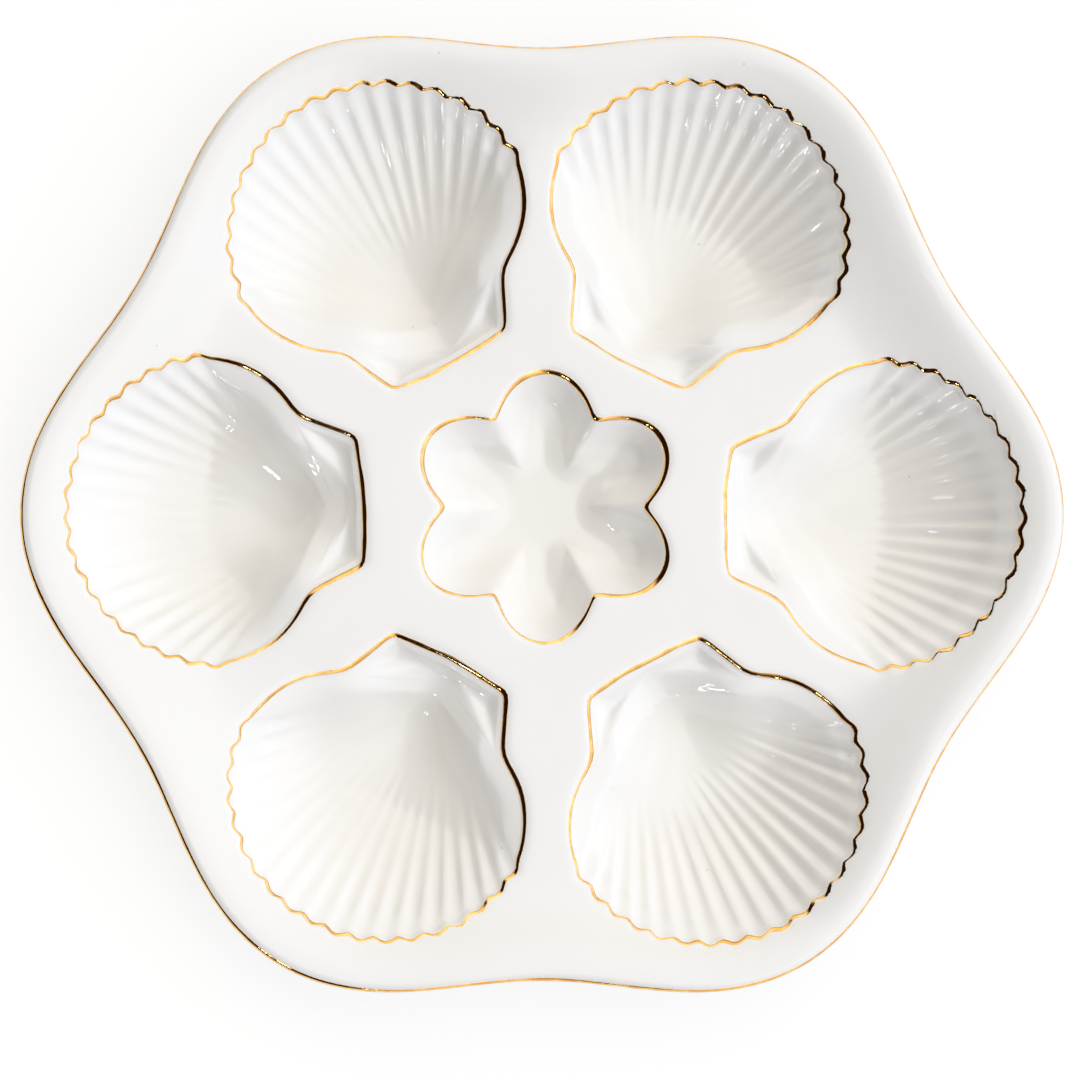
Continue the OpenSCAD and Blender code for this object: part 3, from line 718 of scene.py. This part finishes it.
gildings = []
for k in range(wells):
    slip = slip_strays * uneven(edge_points, slip_waves, 80 + k)
    load = side_share(on_plate(plain_edge, k) - on_plate(shell_at, k), shell_loaded_at)
    outer = stroke_edge(stroke_outer, load, slip, 10 + k)
    inner = stroke_edge(stroke_inner, load, slip, 20 + k)
    rows = ribbon(shell_line(k), outer, inner)
    gildings.append(make_gilding(f"gold_line_shell_{k + 1}", rows, f"shell_gilding_{k + 1}"))


# %% Gold round the middle well and over the rim
# Each edge: its place, how far a full load moves it, how far it strays, and in which waves.
petal_outer, petal_inner = (0.15, -0.26, 0.2, (1, 3, 7, 12)), (0.6, 0.35, 0.22, (2, 5, 8, 17))
rim_outer, rim_inner = (0.77, -0.34, 0.12, (3, 8, 14, 31)), 0.98
rim_gilt_w, petal_loaded_at, rim_loaded_at = 1.7, 50, 225


def petal_line(x):
    """The middle well's rounded lip, x gilding widths inwards from its edge."""
    p = petal_slip + (petal_edge(petal_angles) - gilt_w * x) * petal_ray
    return solid_rows(p, deck_height(p) - lip_fall(x))


def rim_line(x):
    """The rim's roll, from its inner edge at 0 to the outline at 1, then down its outer face."""
    inset = rim_gilt_w * (1 - x)
    p = (rim_radius(rim_angles) - np.maximum(inset, 0)) * rim_ray
    return solid_rows(p, deck_height(p) + np.minimum(inset, 0))


def unsteady_edge(stroke, load, seed):
    """One edge of a brush stroke, in widths of the line: moved by the load, and wandering."""
    at, loaded, strays, waves = stroke
    return at + loaded * load + strays * uneven(len(load), waves, seed)


load = side_share(petal_ray, petal_loaded_at)
outer, inner = unsteady_edge(petal_outer, load, 31), unsteady_edge(petal_inner, load, 32)
rows = ribbon(petal_line, outer, inner)
gildings.append(make_gilding("gold_line_middle", rows, "centre_well_gilding"))
outer = unsteady_edge(rim_outer, side_share(rim_ray, rim_loaded_at) ** 2, 41)
rows = ribbon(rim_line, outer, rim_inner + 0 * rim_angles)
gildings.append(make_gilding("gold_line_rim", rows, "rim_gilding"))


# %% [markdown]
# ## Porcelain and gold
# Glazed porcelain is a white body under a thin clear glass: a bright diffuse colour with a smooth,
# colourless gloss. Low noise bends the gloss, as a fired glaze does, and a few pinholes and iron
# specks show. Deep in the wells the colour is creamier and darker than on the deck: partly glaze
# that pools there, partly painted warm shade.
# The land of the foot is ground bare, so its gloss is taken away there.
# Fired gold is a metal whose colour comes from its reflections. Brush marks vary its colour,
# roughness and relief.
# Pictures could give such patterns too. Noise on the object's own coordinates needs no file, stays
# in place from every side, and has no seam.


# %% Node helpers
def new_material(name):
    """An empty node tree with its output and a Principled shader."""
    material = bpy.data.materials.new(name)
    material.use_nodes = True
    tree = material.node_tree
    return material, tree, tree.nodes["Principled BSDF"]


def add_node(tree, kind, **settings):
    """Adds a node. Settings whose name is a socket's go to the socket, and others to the node."""
    node = tree.nodes.new(kind)
    for key, value in settings.items():
        if key in node.inputs:
            node.inputs[key].default_value = value
        else:
            setattr(node, key, value)
    return node


def noise(tree, place, scale, detail=2.0):
    """A noise pattern on the object's own coordinates, its scale in patterns to the metre."""
    node = add_node(tree, "ShaderNodeTexNoise", Scale=scale, Detail=detail)
    tree.links.new(place.outputs["Object"], node.inputs["Vector"])
    return node.outputs["Fac"]


def ranged(tree, value, low, high, from_low=0.35, from_high=0.65):
    """Maps a pattern's usual range to a wanted range, by 3x squared less 2x cubed."""
    node = add_node(tree, "ShaderNodeMapRange", interpolation_type="SMOOTHSTEP")
    for socket, number in zip(node.inputs[1:5], (from_low, from_high, low, high)):
        socket.default_value = number
    tree.links.new(value, node.inputs["Value"])
    return node.outputs["Result"]


def two_colours(tree, share, first, second):
    """Mixes two colours by a share."""
    node = tree.nodes.new("ShaderNodeMix")
    node.data_type = "RGBA"
    tree.links.new(share, node.inputs[0])
    for socket, colour in ((node.inputs[6], first), (node.inputs[7], second)):
        if isinstance(colour, tuple):
            socket.default_value = (*colour, 1)
        else:
            tree.links.new(colour, socket)
    return node.outputs[2]


# %% Glazed porcelain
# Below the deck's height the colour turns creamier and darker: pooled glaze, and painted warm
# shade in the wells.
glaze_on_deck, glaze_pooled_and_shaded = (0.93, 0.935, 0.944), (0.925, 0.905, 0.865)
glaze_blotch, blotch_share = (0.915, 0.907, 0.9), 0.25
speck_colour, bare_colour, glaze_ior = (0.62, 0.58, 0.52), (0.86, 0.84, 0.8), 1.52
# Heights above the table in metres: of the bare land, and of the pooled glaze and its painted
# shade.
land_top, bare_end, pool_and_shade_low, pool_and_shade_high = 0.0003, 0.0009, 0.008, 0.021
# Patterns to the metre, and the parts of them that show.
speck_scale, blotch_scale, gloss_scale, ripple_scale, peel_scale = 70.0, 35.0, 90.0, 45.0, 420.0
speck_core, speck_edge, gloss_smooth, gloss_rough, bare_rough = 0.008, 0.022, 0.03, 0.08, 0.75
ripple_h, peel_h = 0.00012, 0.000006
porcelain, tree, shader = new_material("glazed_porcelain")
place = tree.nodes.new("ShaderNodeTexCoord")
split = tree.nodes.new("ShaderNodeSeparateXYZ")
tree.links.new(place.outputs["Object"], split.inputs[0])
bare = ranged(tree, split.outputs["Z"], 1.0, 0.0, land_top, bare_end)
cells = add_node(tree, "ShaderNodeTexVoronoi", Scale=speck_scale)
tree.links.new(place.outputs["Object"], cells.inputs["Vector"])
specks = ranged(tree, cells.outputs["Distance"], 1.0, 0.0, speck_core, speck_edge)
# Painted warm shade with the pooled glaze: creamier and darker below the deck's height.
pooled_and_shaded = ranged(tree, split.outputs["Z"], 1.0, 0.0, pool_and_shade_low, pool_and_shade_high)
glaze_colour = two_colours(tree, pooled_and_shaded, glaze_on_deck, glaze_pooled_and_shaded)
blotches = ranged(tree, noise(tree, place, blotch_scale), 0.0, blotch_share)
glaze_colour = two_colours(tree, blotches, glaze_colour, glaze_blotch)
speckled = two_colours(tree, specks, glaze_colour, speck_colour)
tree.links.new(two_colours(tree, bare, speckled, bare_colour), shader.inputs["Base Color"])
gloss = ranged(tree, noise(tree, place, gloss_scale, 3.0), gloss_smooth, gloss_rough)
matt = add_node(tree, "ShaderNodeMath", operation="MAXIMUM")
tree.links.new(gloss, matt.inputs[0])
tree.links.new(ranged(tree, bare, 0.0, bare_rough, 0.0, 1.0), matt.inputs[1])
tree.links.new(matt.outputs[0], shader.inputs["Roughness"])
shader.inputs["IOR"].default_value = glaze_ior
relief = add_node(tree, "ShaderNodeBump", Distance=ripple_h, Strength=1.0)
tree.links.new(noise(tree, place, ripple_scale, 1.0), relief.inputs["Height"])
peel = add_node(tree, "ShaderNodeBump", Distance=peel_h, Strength=1.0)
tree.links.new(noise(tree, place, peel_scale, 1.0), peel.inputs["Height"])
tree.links.new(relief.outputs["Normal"], peel.inputs["Normal"])
tree.links.new(peel.outputs["Normal"], shader.inputs["Normal"])
body.data.materials.append(porcelain)
print("Porcelain: clear glaze on the body, bare on the foot's land")

# %% Fired gold
gold_thick, gold_thin = (0.96, 0.63, 0.26), (0.82, 0.45, 0.14)
tone_scale, polish_scale, stroke_scale = 260.0, 500.0, 700.0
polish_smooth, polish_rough, stroke_h = 0.05, 0.13, 0.00003
gold, tree, shader = new_material("fired_gold")
place = tree.nodes.new("ShaderNodeTexCoord")
shader.inputs["Metallic"].default_value = 1.0
tone = ranged(tree, noise(tree, place, tone_scale, 3.0), 0, 1)
gold_colour = two_colours(tree, tone, gold_thick, gold_thin)
tree.links.new(gold_colour, shader.inputs["Base Color"])
polish = ranged(tree, noise(tree, place, polish_scale, 3.0), polish_smooth, polish_rough)
tree.links.new(polish, shader.inputs["Roughness"])
brush = add_node(tree, "ShaderNodeBump", Distance=stroke_h, Strength=1.0)
tree.links.new(noise(tree, place, stroke_scale, 2.0), brush.inputs["Height"])
tree.links.new(brush.outputs["Normal"], shader.inputs["Normal"])
for line in gildings:
    line.data.materials.append(gold)
print(f"Gold: {len(gildings)} painted lines")

# %% [markdown]
# ## Floor, light and camera
# The plate stands on a white table and is seen from straight above. A big soft window is low at
# its right, and a skylight and a pale ceiling are above. Low on the left the room is dark, which
# draws dark reflections into the gold. A far window in two panes and a small lamp at the lower
# left put slim glints on the flutes.
# A picture of a room could light it as well, but this scene reads no picture. Lamps for what is
# bright and has an edge, and a coloured world for the rest, give the same kind of reflections.

# %% Floor
table_size, table_gap, table_grey, table_rough, table_glow = 12, 0.05, 0.24, 0.9, 0.8


def white_table():
    """A dull grey with a glow of its own for the camera and for mirrored rays: their sum is white,
    the plate's soft shadow still shows, and the porcelain gets no more light from it."""
    material, tree, shader = new_material("white_table")
    shader.inputs["Base Color"].default_value = (table_grey, table_grey, table_grey, 1)
    shader.inputs["Roughness"].default_value = table_rough
    glow = add_node(tree, "ShaderNodeEmission", Color=(1, 1, 1, 1))
    path = tree.nodes.new("ShaderNodeLightPath")
    seen = add_node(tree, "ShaderNodeMath", operation="MAXIMUM")
    mirrored = add_node(tree, "ShaderNodeMath", operation="MAXIMUM")
    tree.links.new(path.outputs["Is Glossy Ray"], mirrored.inputs[0])
    tree.links.new(path.outputs["Is Transmission Ray"], mirrored.inputs[1])
    tree.links.new(path.outputs["Is Camera Ray"], seen.inputs[0])
    tree.links.new(mirrored.outputs[0], seen.inputs[1])
    level = add_node(tree, "ShaderNodeMath", operation="MULTIPLY")
    level.inputs[1].default_value = table_glow
    tree.links.new(seen.outputs[0], level.inputs[0])
    tree.links.new(level.outputs[0], glow.inputs["Strength"])
    both = tree.nodes.new("ShaderNodeAddShader")
    tree.links.new(shader.outputs[0], both.inputs[0])
    tree.links.new(glow.outputs[0], both.inputs[1])
    tree.links.new(both.outputs[0], tree.nodes["Material Output"].inputs["Surface"])
    return material


bpy.ops.mesh.primitive_plane_add(size=table_size, location=(0, 0, -table_gap * mm))
table = bpy.context.object
table.name = "table"
table.data.materials.append(white_table())
print(f"The table is {table_gap} mm below the foot's land, so the two never flicker")


# %% Lights
lamps_away = 1.5


def pointing(azimuth, elevation):
    """A direction one unit long: round from the right by azimuth, then up by elevation."""
    a, e = np.radians(azimuth), np.radians(elevation)
    return np.array([np.cos(a) * np.cos(e), np.sin(a) * np.cos(e), np.sin(e)])


def soft_light(name, azimuth, elevation, width, height, watts, colour=(1, 1, 1)):
    """A rectangular lamp on a sphere round the plate, turned to look at its middle."""
    lamp = bpy.data.lights.new(name, "AREA")
    lamp.shape, lamp.size, lamp.size_y = "RECTANGLE", width, height
    lamp.energy, lamp.color = watts, colour
    holder = bpy.data.objects.new(name, lamp)
    holder.location = lamps_away * pointing(azimuth, elevation)
    holder.rotation_mode = "QUATERNION"
    holder.rotation_quaternion = holder.location.to_track_quat("Z", "Y")
    bpy.context.scene.collection.objects.link(holder)


# Name, azimuth and elevation in degrees, width and height in metres, watts, and colour.
soft_light("window", 0, 28, 3.2, 1.1, 4.0, (0.94, 0.98, 1.1))
soft_light("skylight", 300, 60, 1.6, 1.0, 2.25, (0.95, 0.98, 1.1))
soft_light("far_window_left", 234, 27, 0.05, 0.15, 0.42)
soft_light("far_window_right", 240, 27, 0.05, 0.15, 0.42)
soft_light("far_lamp", 264, 17, 0.035, 0.07, 0.17)
print(f"Every lamp stands {lamps_away} m from the plate's middle")

# %% World
walls, window_wall, pale_ceiling = (1.41, 1.3, 1.06), (0.88, 0.935, 1.01), (1.71, 1.69, 1.67)
low_furniture, dark_corner = (0.66, 0.54, 0.38), (0.02, 0.008, 0.005)
world = bpy.data.worlds.new("room")
bpy.context.scene.world = world
world.use_nodes = True
tree = world.node_tree
backing = tree.nodes["Background"]
sky = tree.nodes.new("ShaderNodeTexCoord")


def towards(azimuth, elevation):
    """How nearly a direction of the room points a given way: the dot product, 1 straight at it."""
    dot = add_node(tree, "ShaderNodeVectorMath", operation="DOT_PRODUCT")
    dot.inputs[1].default_value = pointing(azimuth, elevation)
    tree.links.new(sky.outputs["Generated"], dot.inputs[0])
    return dot.outputs["Value"]


# Each colour of the room takes over from the ones before it, between two values of the product.
right_side = ranged(tree, towards(0, 0), 0.0, 1.0, 0.1, 0.6)
room = two_colours(tree, right_side, walls, window_wall)
overhead = ranged(tree, towards(0, 90), 0.0, 1.0, 0.8, 0.94)
room = two_colours(tree, overhead, room, pale_ceiling)
horizon = ranged(tree, towards(0, 90), 1.0, 0.0, 0.1, 0.3)
room = two_colours(tree, horizon, room, low_furniture)
dark_side = ranged(tree, towards(202, 22), 0.0, 1.0, 0.38, 0.56)
tree.links.new(two_colours(tree, dark_side, room, dark_corner), backing.inputs["Color"])
backing.inputs["Strength"].default_value = 1.0
print("Room: pale walls and ceiling, a bright right side, and a dark corner at the lower left")

# %% Camera
photo_px, plate_px, px_mm, sensor_w, camera_up = 1080, (541.8, 514.2), 0.2495, 36, 2.2
camera_data = bpy.data.cameras.new("camera")
camera = bpy.data.objects.new("camera", camera_data)
bpy.context.scene.collection.objects.link(camera)
bpy.context.scene.camera = camera
camera.location = (
    (photo_px / 2 - plate_px[0]) * px_mm * mm,
    (plate_px[1] - photo_px / 2) * px_mm * mm,
    camera_up,
)
camera_data.sensor_width = sensor_w
camera_data.lens = sensor_w * (camera_up - deck_h * mm) / (photo_px * px_mm * mm)
bpy.context.scene.view_settings.view_transform = "Standard"
print(f"The camera looks down from {camera_up} m through a {camera_data.lens:.0f} mm lens")
